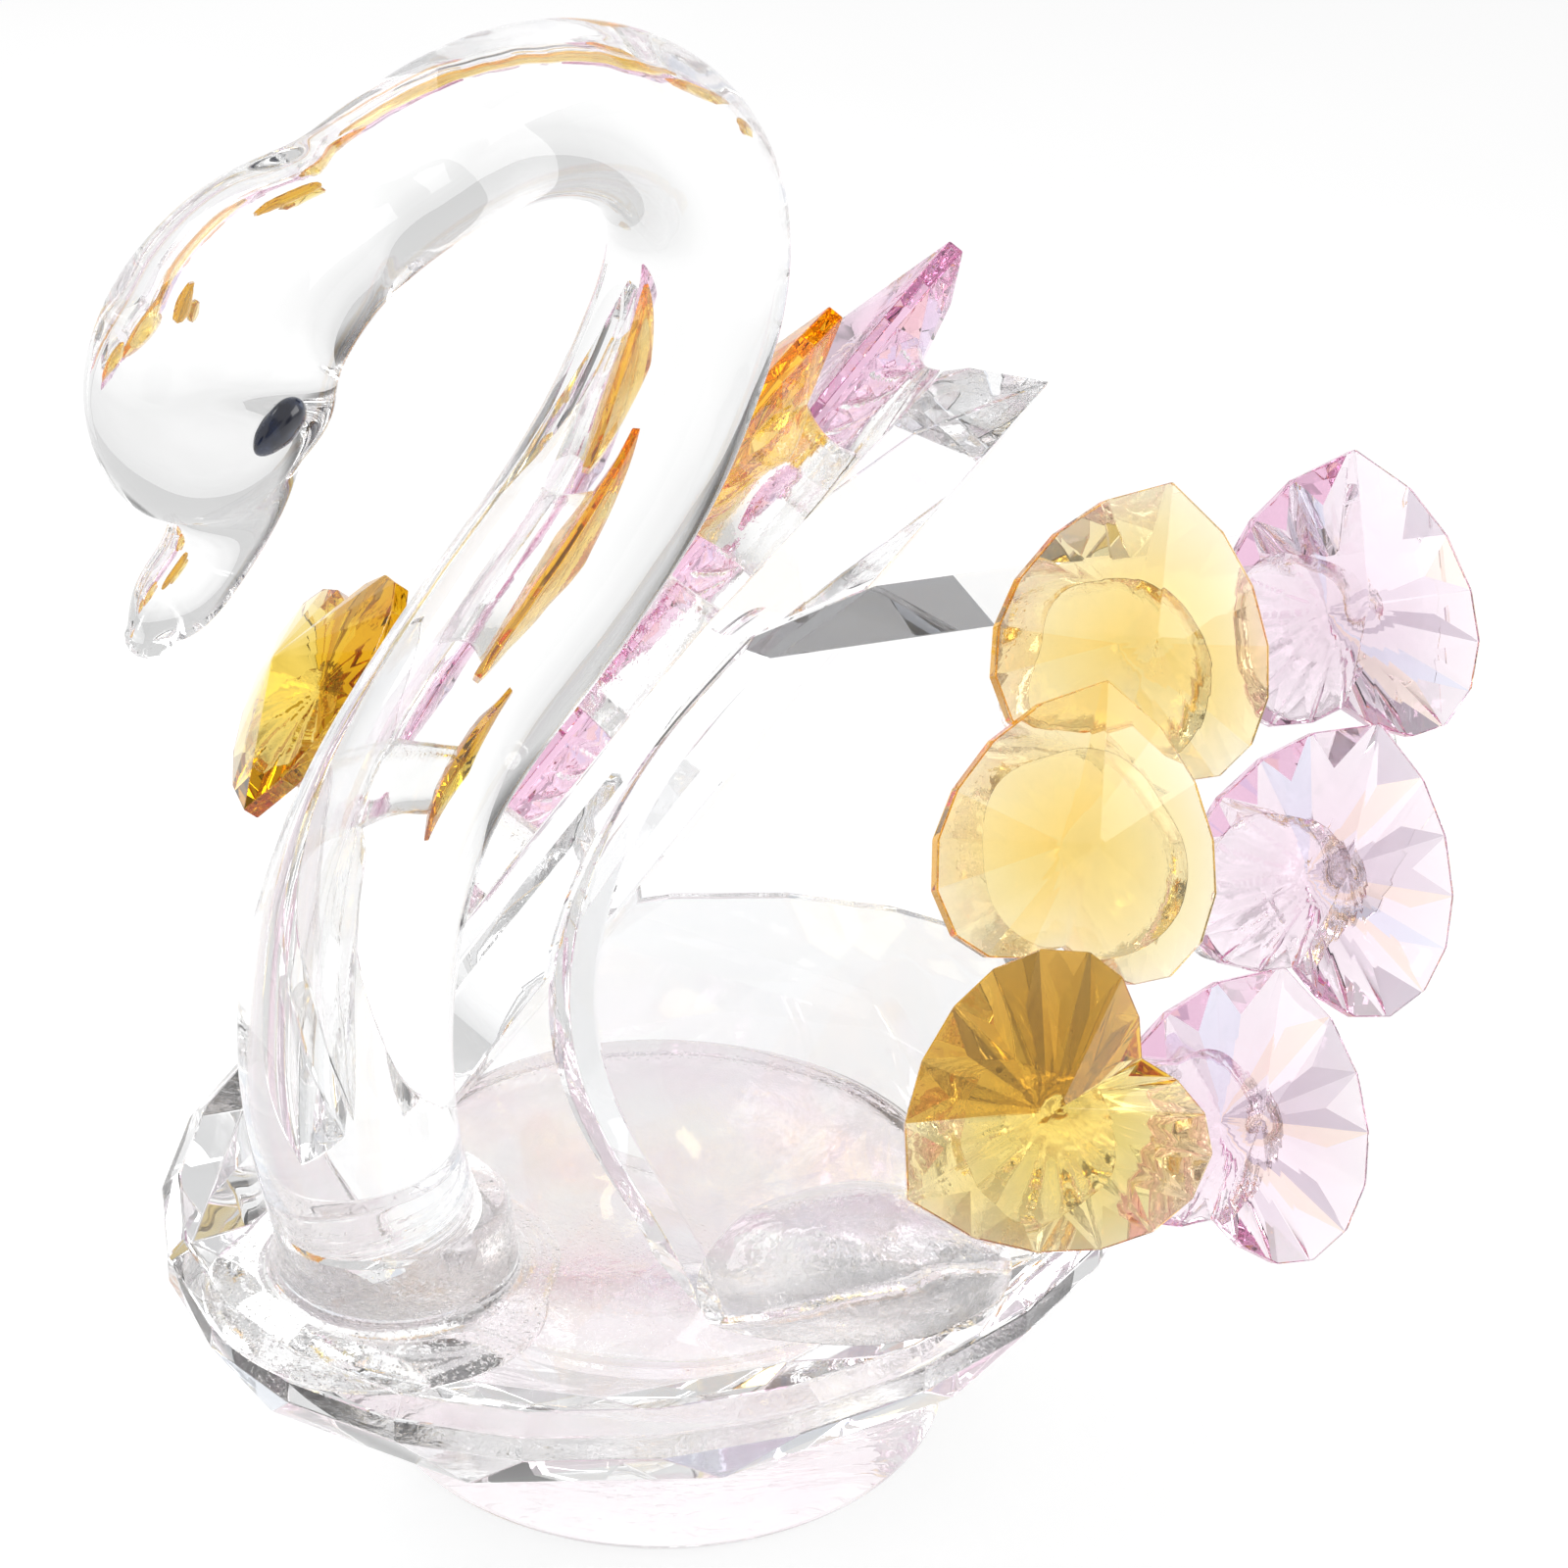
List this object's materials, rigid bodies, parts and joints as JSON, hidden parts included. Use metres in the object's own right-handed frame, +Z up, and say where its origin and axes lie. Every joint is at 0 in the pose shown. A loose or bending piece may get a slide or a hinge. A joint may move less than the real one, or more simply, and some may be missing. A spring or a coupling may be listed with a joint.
{
  "type": "crystal swan figurine",
  "caption": "Clear crystal swan standing on a round faceted base, with wings of amber and pink heart stones glued to two splayed plates.",
  "frame": {"origin": "centre of the round foot's rest face", "axes": "+Z up, the swan faces -Y, its left wing is on +X, and X = 0 is the plane of symmetry of the layout"},
  "size_m": [0.0658, 0.0702, 0.0766],
  "materials": {
    "clear_crystal": "cut and polished",
    "clear_glass_rod": "fire polished",
    "amber_crystal": "cut and polished",
    "pink_crystal": "cut and polished",
    "eye_enamel": "glossy fused dark glass bead",
    "clear_adhesive": "cured clear adhesive"
  },
  "bodies": {
    "root": {"foot_disc": "clear_crystal", "base_plate": "clear_crystal", "neck_head": "clear_glass_rod", "left_eye": "eye_enamel", "right_eye": "eye_enamel", "left_wing_plate": "clear_crystal", "right_wing_plate": "clear_crystal", "left_amber_heart_1": "amber_crystal", "left_amber_heart_2": "amber_crystal", "left_amber_heart_3": "amber_crystal", "left_pink_heart_1": "pink_crystal", "left_pink_heart_2": "pink_crystal", "left_pink_heart_3": "pink_crystal", "right_amber_heart_1": "amber_crystal", "right_amber_heart_2": "amber_crystal", "right_amber_heart_3": "amber_crystal", "right_pink_heart_1": "pink_crystal", "right_pink_heart_2": "pink_crystal", "right_pink_heart_3": "pink_crystal", "left_amber_heart_1_adhesive": "clear_adhesive", "left_amber_heart_2_adhesive": "clear_adhesive", "left_amber_heart_3_adhesive": "clear_adhesive", "left_pink_heart_1_adhesive": "clear_adhesive", "left_pink_heart_2_adhesive": "clear_adhesive", "left_pink_heart_3_adhesive": "clear_adhesive", "right_amber_heart_1_adhesive": "clear_adhesive", "right_amber_heart_2_adhesive": "clear_adhesive", "right_amber_heart_3_adhesive": "clear_adhesive", "right_pink_heart_1_adhesive": "clear_adhesive", "right_pink_heart_2_adhesive": "clear_adhesive", "right_pink_heart_3_adhesive": "clear_adhesive", "foot_adhesive": "clear_adhesive", "neck_adhesive": "clear_adhesive", "left_wing_adhesive": "clear_adhesive", "right_wing_adhesive": "clear_adhesive"}
  },
  "joints": []
}
